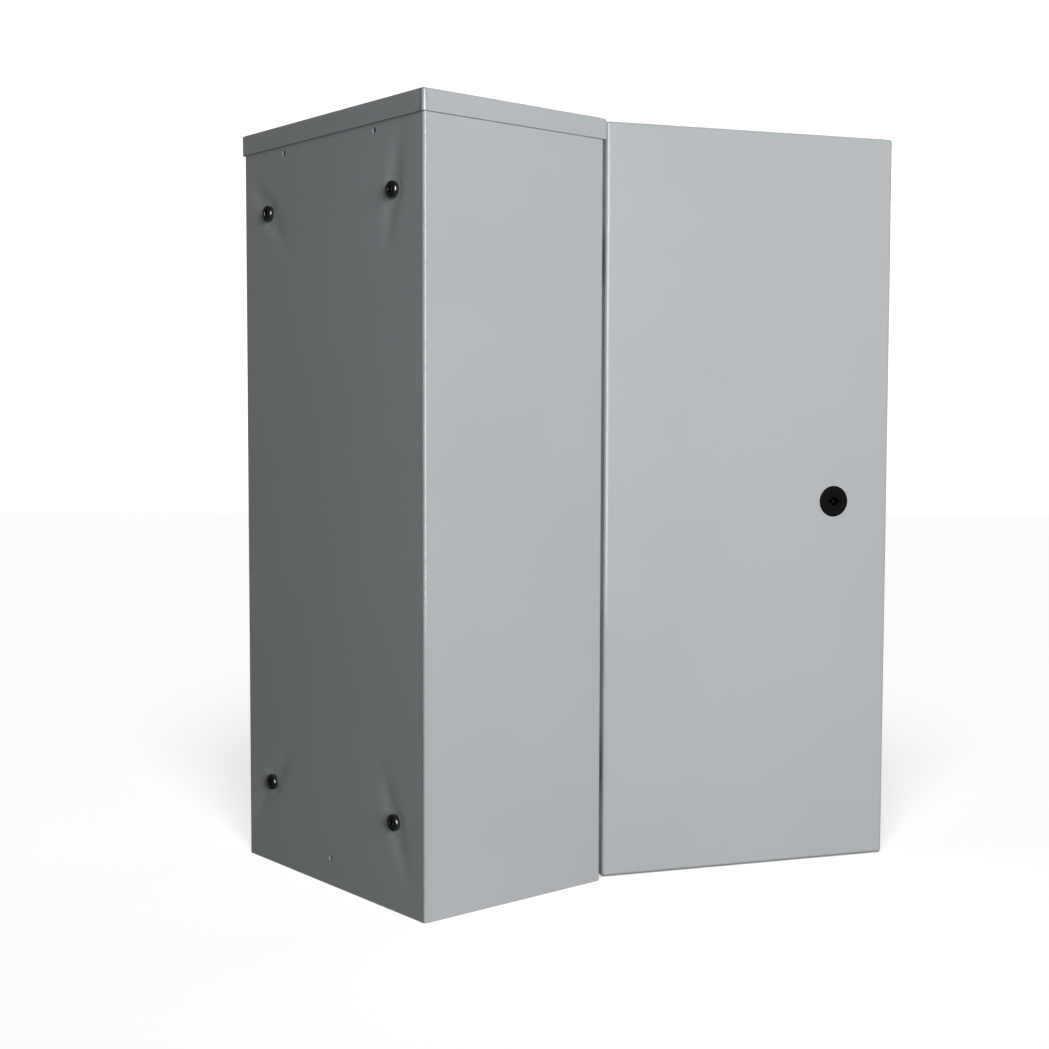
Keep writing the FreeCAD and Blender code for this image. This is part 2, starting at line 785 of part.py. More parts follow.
def breaker_body():
    low_x = breaker_centre - breaker_width / 2
    high_x = breaker_centre + breaker_width / 2
    step = rail_face - breaker_depth
    nose = step - breaker_nose_depth
    half = breaker_height / 2
    half_nose = breaker_nose_height / 2
    main = box(vec(low_x, step, rail_level - half), vec(high_x, rail_face, rail_level + half))
    front_block = box(vec(low_x, nose, rail_level - half_nose),
                      vec(high_x, step, rail_level + half_nose))
    shape = joined([main, front_block] + rail_clip(low_x, high_x))
    centre = toggle_centre()
    well = rod(vec(low_x + breaker_wall, centre.y, centre.z), x_way, breaker_width - 2 * breaker_wall,
               toggle_radius + toggle_gap)
    cutters = [well]
    for x in (breaker_centre - breaker_width / 4, breaker_centre + breaker_width / 4):
        for side in (-1, 1):
            z = rail_level + side * (half + half_nose) / 2
            cutters.append(rod(vec(x, step, z), y_way, breaker_screw_depth, breaker_screw_radius))
            mouth = vec(x, step + breaker_mouth_inset, rail_level + side * half)
            cutters.append(rod(mouth, z_way * -side, breaker_mouth_depth, breaker_mouth_radius))
    seam = box(vec(breaker_centre - breaker_seam / 2, nose - 1, rail_level - half - 1),
               vec(breaker_centre + breaker_seam / 2, nose + breaker_seam_depth, rail_level + half + 1))
    cutters.append(seam)
    return less(shape, cutters)


def breaker_toggle():
    # One handle across both poles, turning about X and stored in its off position.
    centre = toggle_centre()
    length = breaker_width - 2 * (breaker_wall + toggle_gap)
    start = breaker_centre - length / 2
    barrel = rod(vec(start, centre.y, centre.z), x_way, length, toggle_radius)
    tip = centre.y - toggle_length
    lever = box(vec(start + toggle_step, tip, centre.z - toggle_thickness / 2),
                vec(start + length - toggle_step, centre.y, centre.z + toggle_thickness / 2))
    lever = lever.makeFillet(toggle_tip_radius, edges_along(edges_on(lever, 1, tip), 0))
    toggle = joined([barrel, lever])
    toggle.rotate(centre, x_way, toggle_off_angle)
    return toggle


def terminal_block(low_x, width, depth):
    step = rail_face - depth
    block = box(vec(low_x, step, rail_level - terminal_height / 2),
                vec(low_x + width, rail_face, rail_level + terminal_height / 2))
    block = block.makeChamfer(terminal_bevel, edges_along(edges_on(block, 1, step), 0))
    return joined([block] + rail_clip(low_x, low_x + width))


def terminal_blocks():
    blocks = []
    step = rail_face - terminal_depth
    for k in range(terminal_count):
        low_x = terminal_first + k * (terminal_width + terminal_gap)
        middle = low_x + terminal_width / 2
        cutters = []
        for side in (-1, 1):
            screw = vec(middle, step, rail_level + side * terminal_screw_side)
            mouth = vec(middle, step + terminal_mouth_inset, rail_level + side * terminal_height / 2)
            cutters.append(rod(screw, y_way, terminal_screw_depth, terminal_screw_radius))
            cutters.append(rod(mouth, z_way * -side, terminal_mouth_depth, terminal_mouth_radius))
        blocks.append(less(terminal_block(low_x, terminal_width, terminal_depth), cutters))
    return Part.makeCompound(blocks)


def rail_end_stops():
    first = breaker_centre - breaker_width / 2 - end_stop_width - terminal_gap
    last = terminal_first + terminal_count * (terminal_width + terminal_gap)
    return Part.makeCompound([terminal_block(x, end_stop_width, end_stop_depth) for x in (first, last)])


# ---------- earthing studs ----------

def earth_spot():
    return vec(-inner_half, back - earth_from_back, rail_height + earth_rise)


def door_earth_spot():
    return vec(-half_width / 2, door_inside, rail_height + earth_rise)


def earth_stud(spot, way):
    return rod(spot, way, earth_stud_length, earth_stud_radius)


def earth_nut(spot, way):
    return flange_nut(small_nut, spot + way * earth_nut_gap, way)


# ---------- door ----------

def door_pan():
    low = vec(-door_half, door_face, door_bottom)
    high = vec(door_half, door_rear, door_top)
    pan = folded_pan(low, high, sheet, bend_inside, "+y")
    hole = rod(vec(lock_x, door_face - 1, lock_z), y_way, sheet + 2, lock_barrel_radius + lock_hole_gap)
    return pan.cut(hole)


def door_gasket():
    middle = lip_inside + sheet / 2
    low_z = rail_height - sheet / 2
    high_z = body_top - low_z
    half = gasket_width / 2
    front_y = lip_end - gasket_gap

    def block(reach):
        return box(vec(-middle - reach, door_inside, low_z - reach),
                   vec(middle + reach, front_y, high_z + reach))

    ring = block(half).cut(block(-half))
    return ring.makeFillet(gasket_round, edges_on(ring, 1, front_y))


def door_stiffener():
    foot = door_inside + sheet / 2
    crown = door_inside + stiffener_depth - sheet / 2
    half = stiffener_crown / 2
    edge = stiffener_width / 2
    points = [(-edge, foot), (-half, foot), (-half, crown), (half, crown), (half, foot), (edge, foot)]
    low = door_bottom + stiffener_inset
    high = door_top - stiffener_inset
    return folded_sheet(points, sheet, bend_inside, lambda p: vec(p.x, p.y, low),
                        vec(0, 0, high - low))


# ---------- hinges ----------

def hinge_screw_x():
    return pivot_x + arm_turn + arm_thickness - hinge_screw_side


def hinge_screw_levels():
    return [z + side * hinge_screw_spread / 2 for z in hinge_levels for side in (-1, 1)]


def hinge_arm(level):
    # Cranked arm: a foot on the front flange, a leg forward, and a leg out to the eye.
    low = level - arm_height / 2
    leg = pivot_x + arm_turn + arm_thickness / 2
    reach = pivot_y - arm_set - arm_thickness / 2
    foot = front - arm_thickness / 2
    foot_end = pivot_x + arm_turn + arm_thickness - arm_foot
    points = [(foot_end, foot), (leg, foot), (leg, reach), (pivot_x, reach)]
    sheet_part = folded_sheet(points, arm_thickness, thick_bend, lambda p: vec(p.x, p.y, low),
                              vec(0, 0, arm_height))
    eye = rod(vec(pivot_x, pivot_y, low), z_way, arm_height, eye_radius)
    hole = rod(vec(pivot_x, pivot_y, low), z_way, arm_height, pin_radius + pin_running_gap)
    arm = joined([sheet_part, eye]).cut(hole)
    sinks = []
    for side in (-1, 1):
        spot = vec(hinge_screw_x(), front, level + side * hinge_screw_spread / 2)
        sinks.append(rod(spot, -y_way, arm_thickness, hinge_screw_radius + screw_hole_gap))
        sinks.append(hinge_sink(spot))
    return less(arm, sinks)


def hinge_sink(spot):
    # Cone that the countersunk head fills, opening at the front of the arm's foot.
    depth = hinge_head_radius - hinge_screw_radius
    outline = [(0, arm_thickness - depth), (hinge_screw_radius, arm_thickness - depth),
               (hinge_head_radius, arm_thickness), (0, arm_thickness)]
    return turned_profile(outline, spot, -y_way)


def hinge_arms():
    return Part.makeCompound([hinge_arm(z) for z in hinge_levels])


def hinge_screws():
    depth = hinge_head_radius - hinge_screw_radius
    end = arm_thickness - hinge_screw_length
    outline = [(0, end), (hinge_screw_radius, end), (hinge_screw_radius, arm_thickness - depth),
               (hinge_head_radius, arm_thickness), (0, arm_thickness)]
    screws = []
    for z in hinge_screw_levels():
        spot = vec(hinge_screw_x(), front, z)
        screw = turned_profile(outline, spot, -y_way)
        floor = spot - y_way * (arm_thickness - hinge_socket_depth)
        screws.append(screw.cut(hexagon(floor, -y_way, hinge_socket_depth, hinge_socket_flats)))
    return Part.makeCompound(screws)


def hinge_nuts():
    return Part.makeCompound([flange_nut(hinge_nut, vec(hinge_screw_x(), inner_front, z), y_way)
                              for z in hinge_screw_levels()])


def hinge_bracket(level):
    # Channel on the inside of the door's hinge-side return, with an ear above and below the arm.
    wall = -door_half + sheet
    plate_inside = wall + bracket_plate
    half = arm_height / 2 + ear_gap + ear_thickness
    front_y = door_inside + bend_inside + bracket_gap
    rear_y = pivot_y + bracket_reach
    plate = box(vec(wall, front_y, level - half), vec(plate_inside, rear_y, level + half))
    ears = []
    for side in (-1, 1):
        inner = level + side * (arm_height / 2 + ear_gap)
        outer = level + side * half
        low = min(inner, outer)
        web = box(vec(wall, front_y, low), vec(pivot_x, rear_y, low + ear_thickness))
        rear_cut = box(vec(pivot_x - hinge_ear_radius(), pivot_y, low - 1),
                       vec(pivot_x + 1, rear_y + 1, low + ear_thickness + 1))
        slope = [vec(plate_inside, rear_y, low), vec(pivot_x, pivot_y + hinge_ear_radius(), low),
                 vec(pivot_x, pivot_y, low), vec(plate_inside, pivot_y, low),
                 vec(plate_inside, rear_y, low)]
        gusset = Part.Face(Part.makePolygon(slope)).extrude(vec(0, 0, ear_thickness))
        tip = rod(vec(pivot_x, pivot_y, low), z_way, ear_thickness, hinge_ear_radius())
        ears.append(joined([web.cut(rear_cut), gusset, tip]))
    bracket = joined([plate] + ears)
    hole = rod(vec(pivot_x, pivot_y, level - half - 1), z_way, 2 * half + 2, pin_radius + pin_press_gap)
    return bracket.cut(hole)


def hinge_ear_radius():
    # The ear stops just short of the door's inside face.
    return min(pivot_y - door_inside - ear_door_gap, pin_head_radius + ear_margin)


def hinge_brackets():
    return Part.makeCompound([hinge_bracket(z) for z in hinge_levels])


def hinge_pin(level):
    half = arm_height / 2 + ear_gap + ear_thickness
    stem = half + pin_tail
    top = half + pin_head_height
    outline = [(0, -stem), (pin_radius - edge_break, -stem), (pin_radius, edge_break - stem),
               (pin_radius, half), (pin_head_radius, half), (pin_head_radius, top - edge_break),
               (pin_head_radius - edge_break, top), (0, top)]
    return turned_profile(outline, vec(pivot_x, pivot_y, level), z_way)


def hinge_pins():
    return Part.makeCompound([hinge_pin(z) for z in hinge_levels])


# ---------- lock ----------

def lock_spot(y):
    return vec(lock_x, y, lock_z)


def lock_depths():
    # Distances behind the door's outer face: barrel end, shoulder of the insert's bore.
    barrel_end = sheet + lock_length
    return barrel_end, barrel_end - lock_shoulder


def lock_housing():
    barrel_end, shoulder = lock_depths()
    bore = lock_insert_radius + lock_running_gap
    shank_bore = lock_shank_radius + lock_running_gap
    head = lock_head_radius
    round_middle = (head - lock_head_round[0], lock_head_round[1] - lock_head_height)
    outline = [(bore, -lock_head_height), (head - lock_head_bevel, -lock_head_height),
               (head, -lock_head_rim) + round_middle, (head, 0), (lock_barrel_radius, 0),
               (lock_barrel_radius, barrel_end), (shank_bore, barrel_end), (shank_bore, shoulder),
               (bore, shoulder)]
    return turned_profile(outline, lock_spot(door_face), y_way)


def lock_nut():
    ring = rod(lock_spot(door_inside), y_way, lock_nut_height, lock_nut_radius)
    cutters = [rod(lock_spot(door_inside), y_way, lock_nut_height, lock_barrel_radius)]
    for k in range(4):
        notch = box(vec(lock_nut_radius - lock_notch_depth, -lock_notch_width / 2, 0),
                    vec(lock_nut_radius + 1, lock_notch_width / 2, lock_nut_height))
        notch.rotate(vec(0, 0, 0), z_way, 90 * k + 45)
        cutters.append(aimed(notch, lock_spot(door_inside), y_way))
    return less(ring, cutters)


def cam_front_face():
    return door_inside + lock_length + lock_end_play


def lock_insert():
    # Key barrel with a round socket, a slot and a centre post for the key, and a square tail.
    barrel_end, shoulder = lock_depths()
    face = lock_insert_recess - lock_head_height
    tail = cam_front_face() - door_face
    step = shoulder - lock_end_play
    outer = lock_insert_radius
    outline = [(0, face), (outer - edge_break, face), (outer, face + edge_break), (outer, step),
               (lock_shank_radius, step), (lock_shank_radius, tail), (0, tail)]
    body = turned_profile(outline, lock_spot(door_face), y_way)
    half = cam_square / 2
    square = box(vec(-half, -half, tail), vec(half, half, tail + cam_thickness))
    body = joined([body, aimed(square, lock_spot(door_face), y_way)])
    socket = rod(vec(0, 0, face), z_way, key_depth, key_radius)
    slot = box(vec(-key_slot_reach, -key_slot_width / 2, face),
               vec(key_slot_reach, key_slot_width / 2, face + key_depth))
    post = rod(vec(0, 0, face + key_post_drop), z_way, key_depth, key_post_radius)
    recess = joined([socket, slot]).cut(post)
    return body.cut(aimed(recess, lock_spot(door_face), y_way))


def lock_cam():
    # Cranked cam, pointing down when unlocked.
    hub = cam_front_face() + cam_thickness / 2
    tip = inner_front + cam_clearance + cam_thickness / 2
    points = [(cam_back, hub), (-cam_crank_start, hub), (-cam_crank_end, tip), (-cam_length, tip)]
    cam = folded_sheet(points, cam_thickness, thick_bend,
                       lambda p: vec(lock_x - cam_width / 2, p.y, lock_z + p.x), vec(cam_width, 0, 0))
    cam = cam.makeFillet(cam_tip_radius, edges_along(edges_on(cam, 2, lock_z - cam_length), 1))
    corner = vec(cam_square / 2, 0, cam_square / 2)
    hole = box(lock_spot(cam_front_face()) - corner,
               lock_spot(cam_front_face() + cam_thickness) + corner)
    return cam.cut(hole)


def cam_screw():
    # Hexagon screw and washer that hold the cam on the insert's tail.
    face = cam_front_face() + cam_thickness
    washer = rod(lock_spot(face), y_way, cam_washer_height, cam_washer_radius)
    head = hexagon(lock_spot(face + cam_washer_height), y_way, cam_head_height, cam_head_flats)
    return joined([washer, head])


# ---------- assembly ----------

cabinet_parts = {
    "back_panel": back_panel,
    "left_side_panel": left_side_panel,
    "right_side_panel": right_side_panel,
    "bottom_panel": bottom_panel,
    "top_panel": top_panel,
    "lid": lid,
    "lid_seal": lid_seal,
    "lid_studs": lid_studs,
    "lid_nuts": lid_nuts,
    "gland_plate": gland_plate,
    "gland_plate_studs": gland_plate_studs,
    "gland_plate_nuts": gland_plate_nuts,
    "cable_grommets": cable_grommets,
    "upright_left": lambda: upright(-1),
    "upright_right": lambda: upright(1),
    "wall_bolts": wall_bolts,
    "wall_bolt_nuts": wall_bolt_nuts,
    "lower_tray": lambda: tray(tray_levels["lower"]),
    "upper_tray": lambda: tray(tray_levels["upper"]),
    "lower_mat": lambda: tray_mat(tray_levels["lower"]),
    "upper_mat": lambda: tray_mat(tray_levels["upper"]),
    "tray_screws": tray_screws,
    "tray_nuts": tray_nuts,
    "din_rail": din_rail,
    "rail_screws": rail_screws,
    "rail_nuts": rail_nuts,
    "breaker_body": breaker_body,
    "breaker_toggle": breaker_toggle,
    "terminal_blocks": terminal_blocks,
    "rail_end_stops": rail_end_stops,
    "body_earth_stud": lambda: earth_stud(earth_spot(), x_way),
    "body_earth_nut": lambda: earth_nut(earth_spot(), x_way),
    "hinge_arms": hinge_arms,
    "hinge_screws": hinge_screws,
    "hinge_nuts": hinge_nuts,
}

door_parts = {
    "door_pan": door_pan,
    "door_gasket": door_gasket,
    "door_stiffener": door_stiffener,
    "door_hinge_brackets": hinge_brackets,
    "hinge_pins": hinge_pins,
    "door_earth_stud": lambda: earth_stud(door_earth_spot(), y_way),
    "door_earth_nut": lambda: earth_nut(door_earth_spot(), y_way),
    "lock_housing": lock_housing,
    "lock_nut": lock_nut,
    "lock_insert": lock_insert,
    "lock_cam": lock_cam,
    "cam_screw": cam_screw,
}

for name, make in cabinet_parts.items():
    make().exportStep("parts/" + name + ".step")

for name, make in door_parts.items():
    opened(make()).exportStep("parts/" + name + ".step")
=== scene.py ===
import json
import math

import bmesh
import bpy
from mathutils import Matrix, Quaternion, Vector
from mathutils.geometry import delaunay_2d_cdt


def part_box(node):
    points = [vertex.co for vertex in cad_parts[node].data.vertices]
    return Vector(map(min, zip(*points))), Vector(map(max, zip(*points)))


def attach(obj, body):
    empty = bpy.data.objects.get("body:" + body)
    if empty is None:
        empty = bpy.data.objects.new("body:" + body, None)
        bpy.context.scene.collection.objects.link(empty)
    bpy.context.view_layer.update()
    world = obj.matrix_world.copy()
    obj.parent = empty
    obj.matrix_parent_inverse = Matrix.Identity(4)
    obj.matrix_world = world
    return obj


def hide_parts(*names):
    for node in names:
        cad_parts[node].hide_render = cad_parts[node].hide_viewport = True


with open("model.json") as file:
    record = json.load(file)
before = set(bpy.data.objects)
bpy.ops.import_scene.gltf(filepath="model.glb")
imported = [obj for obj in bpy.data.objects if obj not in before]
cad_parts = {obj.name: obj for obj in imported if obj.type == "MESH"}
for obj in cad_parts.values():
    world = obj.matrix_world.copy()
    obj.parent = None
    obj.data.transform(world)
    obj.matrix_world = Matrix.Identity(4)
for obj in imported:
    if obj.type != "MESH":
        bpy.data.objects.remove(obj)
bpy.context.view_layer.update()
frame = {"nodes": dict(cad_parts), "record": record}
print("cabinet loaded:", len(frame["nodes"]), "nodes")


class Flow:
    # an output socket; sums written on it add Math nodes to its finish
    def __init__(self, finish, socket):
        self.finish = finish
        self.socket = socket

    def sum(self, operation, first, second):
        return self.finish.node("ShaderNodeMath", {"operation": operation}, {0: first, 1: second})

    def __add__(self, other):
        return self.sum("ADD", self, other)

    def __radd__(self, other):
        return self.sum("ADD", other, self)

    def __sub__(self, other):
        return self.sum("SUBTRACT", self, other)

    def __rsub__(self, other):
        return self.sum("SUBTRACT", other, self)

    def __mul__(self, other):
        return self.sum("MULTIPLY", self, other)

    def __rmul__(self, other):
        return self.sum("MULTIPLY", other, self)


class Finish:
    # one material and the nodes in it
    def __init__(self, name):
        self.material = bpy.data.materials.new(name)
        self.material.use_nodes = True
        self.tree = self.material.node_tree
        self.tree.nodes.clear()
        self.place = self.node("ShaderNodeTexCoord", output="Object")

    def node(self, kind, settings=None, sockets=None, output=0):
        made = self.tree.nodes.new(kind)
        for key, value in (settings or {}).items():
            setattr(made, key, value)
        for key, value in (sockets or {}).items():
            if isinstance(value, Flow):
                self.tree.links.new(value.socket, made.inputs[key])
            else:
                made.inputs[key].default_value = value
        return Flow(self, made.outputs[output])

    def noise(self, size, detail=2.0, stretch=None):
        # size is the width of one blob in metres
        place = self.place
        if stretch:
            place = self.node("ShaderNodeVectorMath", {"operation": "MULTIPLY"}, {0: place, 1: stretch})
        return self.node("ShaderNodeTexNoise", None, {"Vector": place, "Scale": 1 / size, "Detail": detail})

    def cells(self, size, output="Distance"):
        return self.node("ShaderNodeTexVoronoi", None, {"Vector": self.place, "Scale": 1 / size}, output)

    def soft(self, value, low, high):
        # 0 below low, 1 above high, smooth between
        return self.node("ShaderNodeMapRange", {"interpolation_type": "SMOOTHSTEP"},
                         {"Value": value, "From Min": low, "From Max": high})

    def mix(self, mask, first, second):
        return self.node("ShaderNodeMix", {"data_type": "RGBA"}, {0: mask, 6: first, 7: second}, 2)

    def bump(self, height, distance, under=None):
        sockets = {"Height": height, "Distance": distance}
        if under:
            sockets["Normal"] = under
        return self.node("ShaderNodeBump", None, sockets, "Normal")

    def shade(self, **sockets):
        names = {key.replace("_", " "): value for key, value in sockets.items()}
        shader = self.node("ShaderNodeBsdfPrincipled", None, names, "BSDF")
        end = self.tree.nodes.new("ShaderNodeOutputMaterial")
        self.tree.links.new(shader.socket, end.inputs["Surface"])
        return self.material


def colour(tint, share=1.0):
    # a tint, made darker or lighter by a share
    return (*[part * share for part in tint], 1.0)


# powder coat

coat = {
    "tint": (0.485, 0.510, 0.525),
    "hingeTint": (0.46, 0.485, 0.50),
    "drift": 0.012,             # slow change of tone over a panel
    "driftSize": 0.14,
    "driftEdge": (0.35, 0.65),
    "driftRough": 0.05,
    "speckSize": 0.004,
    "speckEdge": (0.10, 0.04),
    "speckTone": 0.8,
    "speckShare": 0.05,
    "peelSize": 0.0052,
    "peelDepth": 0.000060,
    "grainSize": 0.0011,
    "grainDepth": 0.000016,
    "grainRough": 0.10,
    "rough": 0.46,
    "shine": 0.09,
    "bendReach": 0.0045,        # the peel is coarser this near an upright bend
    "bendCore": 0.4,            # and fully so within this share of it
    "bendPeel": 4.0,
    "gloss": 0.03,              # clear skin, fuller where the coat is thin over a bend
    "bendGloss": 0.95,
    "glossRough": 0.12,
}
shutDoor = {
    "halfWidth": 0.1393,
    "front": -0.1195,           # its outer face
}
doorHinge = frame["record"]["behaviour"]["joints"][0]
doorTurn = math.radians(doorHinge["range_deg"][0])      # from shut to stored, seen from above


def swung(x, y):
    # a point of the shut door, where the open door has it
    hingeX, hingeY = doorHinge["pos_m"][:2]
    dx, dy = x - hingeX, y - hingeY
    return (hingeX + dx * math.cos(doorTurn) - dy * math.sin(doorTurn),
            hingeY + dx * math.sin(doorTurn) + dy * math.cos(doorTurn))


def uprightBends():
    # x, y of the bends that run from top to bottom
    low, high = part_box("back_panel")
    lidLow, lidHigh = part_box("lid")
    bends = [(low[0], high[1]), (lidLow[0], lidHigh[1]), (high[0], high[1])]
    return bends + [swung(side * shutDoor["halfWidth"], shutDoor["front"]) for side in (-1, 1)]


def powderCoat(name, tint):
    finish = Finish(name)
    flatPlace = finish.node("ShaderNodeVectorMath", {"operation": "MULTIPLY"},
                            {0: finish.place, 1: (1.0, 1.0, 0.0)})
    bend = None
    for x, y in uprightBends():
        away = finish.node("ShaderNodeVectorMath", {"operation": "DISTANCE"},
                           {0: flatPlace, 1: (x, y, 0.0)}, "Value")
        nearBend = finish.soft(away, coat["bendReach"], coat["bendReach"] * coat["bendCore"])
        bend = nearBend if bend is None else bend + nearBend
    slow = finish.noise(coat["driftSize"], detail=3.0)
    peel = finish.noise(coat["peelSize"], detail=1.5)
    grain = finish.noise(coat["grainSize"])
    base = finish.mix(finish.soft(slow, *coat["driftEdge"]), colour(tint, 1 - coat["drift"]),
                      colour(tint, 1 + coat["drift"]))
    speck = finish.soft(finish.cells(coat["speckSize"]), *coat["speckEdge"])
    base = finish.mix(speck * coat["speckShare"], base, colour(tint, coat["speckTone"]))
    rough = coat["rough"] + (grain - 0.5) * coat["grainRough"] + (slow - 0.5) * coat["driftRough"]
    skin = finish.bump(peel * (1 + coat["bendPeel"] * bend), coat["peelDepth"])
    skin = finish.bump(grain, coat["grainDepth"], under=skin)
    return finish.shade(Base_Color=base, Roughness=rough, Normal=skin, Specular_IOR_Level=coat["shine"],
                        Coat_Weight=coat["gloss"] + coat["bendGloss"] * bend,
                        Coat_Roughness=coat["glossRough"])


# metals

galvanised = {
    "tint": (0.60, 0.62, 0.64),
    "dark": 0.90,               # tone of the dullest flake
    "flakeSize": 0.0065,
    "flakeShare": 0.6,          # the rest of the pattern is cloud
    "flakeRough": 0.07,
    "cloudSize": 0.004,
    "cloudRough": 0.10,
    "cloudDepth": 0.000020,
    "rough": 0.38,
    "metal": 0.9,
}


def galvanisedSheet(name):
    zinc = galvanised
    finish = Finish(name)
    spangle = finish.cells(zinc["flakeSize"], output="Color")
    tone = finish.node("ShaderNodeSeparateColor", None, {"Color": spangle}, "Red")
    cloud = finish.noise(zinc["cloudSize"], detail=4.0)
    mask = tone * zinc["flakeShare"] + cloud * (1 - zinc["flakeShare"])
    base = finish.mix(mask, colour(zinc["tint"], zinc["dark"]), colour(zinc["tint"]))
    rough = zinc["rough"] + tone * zinc["flakeRough"] + (cloud - 0.5) * zinc["cloudRough"]
    skin = finish.bump(cloud, zinc["cloudDepth"])
    return finish.shade(Base_Color=base, Metallic=zinc["metal"], Roughness=rough, Normal=skin)


plating = {
    "tint": (0.66, 0.67, 0.68),
    "dark": 0.82,
    "cloudSize": 0.0025,
    "cloudRough": 0.14,
    "lineSize": 0.0006,         # fine turning marks
    "lineStretch": (1.0, 0.15, 1.0),
    "lineDepth": 0.000010,
    "rough": 0.24,
}


def zincPlate(name):
    finish = Finish(name)
    cloud = finish.noise(plating["cloudSize"], detail=4.0)
    lines = finish.noise(plating["lineSize"], stretch=plating["lineStretch"])
    base = finish.mix(cloud, colour(plating["tint"], plating["dark"]), colour(plating["tint"]))
    rough = plating["rough"] + cloud * plating["cloudRough"]
    skin = finish.bump(lines, plating["lineDepth"])
    return finish.shade(Base_Color=base, Metallic=1.0, Roughness=rough, Normal=skin)


blackened = {
    "tint": (0.20, 0.21, 0.205),
    "dark": 0.7,
    "light": 1.3,
    "cloudSize": 0.003,
    "cloudRough": 0.10,
    "grainSize": 0.0005,
    "grainDepth": 0.000006,
    "rough": 0.17,
}


def darkSteel(name):
    steel = blackened
    finish = Finish(name)
    cloud = finish.noise(steel["cloudSize"], detail=3.0)
    grain = finish.noise(steel["grainSize"])
    base = finish.mix(cloud, colour(steel["tint"], steel["dark"]), colour(steel["tint"], steel["light"]))
    rough = steel["rough"] + cloud * steel["cloudRough"]
    skin = finish.bump(grain, steel["grainDepth"])
    return finish.shade(Base_Color=base, Metallic=1.0, Roughness=rough, Normal=skin)


# foam, rubber and plastic

sealFoam = {
    "tint": (0.020, 0.020, 0.021),
    "dark": 0.4,                # painted shade inside a pore
    "light": 1.8,
    "poreSize": 0.0009,
    "poreEdge": (0.15, 0.6),
    "poreDepth": 0.00018,
    "dustSize": 0.01,
    "dustRough": 0.12,
    "rough": 0.88,
}


def foam(name):
    finish = Finish(name)
    pore = finish.cells(sealFoam["poreSize"])
    dust = finish.noise(sealFoam["dustSize"], detail=4.0)
    # painted shade: the colour is darker in the middle of each pore, where shade falls
    base = finish.mix(finish.soft(pore, *sealFoam["poreEdge"]), colour(sealFoam["tint"], sealFoam["dark"]),
                      colour(sealFoam["tint"], sealFoam["light"]))
    rough = sealFoam["rough"] + (dust - 0.5) * sealFoam["dustRough"]
    skin = finish.bump(pore, sealFoam["poreDepth"])
    return finish.shade(Base_Color=base, Roughness=rough, Normal=skin)


blackRubber = {
    "tint": (0.018, 0.018, 0.019),
    "dusty": 2.2,
    "dustSize": 0.012,
    "dustEdge": (0.35, 0.75),
    "dustRough": 0.25,
    "grainSize": 0.0008,
    "grainDepth": 0.00003,
    "rough": 0.62,
    "ribPitch": 0.006,          # of the mats under the batteries
    "ribEdge": (0.15, 0.3),     # as shares of the pitch
    "ribDepth": 0.0008,
}


def rubber(name, ribbed=False):
    gum = blackRubber
    finish = Finish(name)
    dust = finish.noise(gum["dustSize"], detail=5.0)
    grain = finish.noise(gum["grainSize"])
    base = finish.mix(finish.soft(dust, *gum["dustEdge"]), colour(gum["tint"]),
                      colour(gum["tint"], gum["dusty"]))
    rough = gum["rough"] + (dust - 0.5) * gum["dustRough"]
    skin = finish.bump(grain, gum["grainDepth"])
    if ribbed:
        across = finish.node("ShaderNodeSeparateXYZ", None, {"Vector": finish.place}, "X")
        wave = finish.node("ShaderNodeMath", {"operation": "PINGPONG"}, {0: across, 1: gum["ribPitch"] / 2})
        rib = finish.soft(wave, *[gum["ribPitch"] * share for share in gum["ribEdge"]])
        skin = finish.bump(rib, gum["ribDepth"], under=skin)
    return finish.shade(Base_Color=base, Roughness=rough, Normal=skin)


moulded = {
    "dark": 0.88,
    "light": 1.10,
    "cloudSize": 0.02,
    "cloudRough": 0.10,
    "grainSize": 0.0006,
    "grainDepth": 0.000018,
    "grainRough": 0.08,
}


def plastic(name, tint, rough, shine=0.5):
    finish = Finish(name)
    cloud = finish.noise(moulded["cloudSize"], detail=3.0)
    grain = finish.noise(moulded["grainSize"], detail=1.0)
    base = finish.mix(cloud, colour(tint, moulded["dark"]), colour(tint, moulded["light"]))
    worn = rough + (cloud - 0.5) * moulded["cloudRough"] + (grain - 0.5) * moulded["grainRough"]
    skin = finish.bump(grain, moulded["grainDepth"])
    return finish.shade(Base_Color=base, Roughness=worn, Normal=skin, Specular_IOR_Level=shine)


finishes = {
    "painted_sheet": powderCoat("light grey powder coat", coat["tint"]),
    "painted_hinge": powderCoat("light grey hinge coat", coat["hingeTint"]),
    "galvanised_steel": galvanisedSheet("galvanised sheet"),
    "bolt_steel": darkSteel("dark bolt steel"),
    "plated_steel": zincPlate("bright zinc plate"),
    "seal_foam": foam("closed cell foam"),
    "rubber": rubber("black rubber"),
    "lock_plastic": plastic("black lock plastic", (0.0028, 0.0032, 0.0036), rough=0.50, shine=0.06),
    "breaker_shell": plastic("breaker shell", (0.62, 0.62, 0.59), rough=0.48),
    "breaker_handle": plastic("breaker handle", (0.02, 0.035, 0.09), rough=0.30),
    "terminal_shell": plastic("terminal shell", (0.34, 0.35, 0.35), rough=0.50),
}
ribbedMat = rubber("ribbed rubber mat", ribbed=True)
slotOf = {part["node"]: part["material_slot"] for part in frame["record"]["subparts"]}
for node, piece in frame["nodes"].items():
    for slot in piece.material_slots:
        slot.material = ribbedMat if node in ("lower_mat", "upper_mat") else finishes[slotOf[node]]
print("finishes made:", len(bpy.data.materials))


# shared mesh making

def dress(piece, finish):
    piece.data.materials.clear()
    piece.data.materials.append(finish)


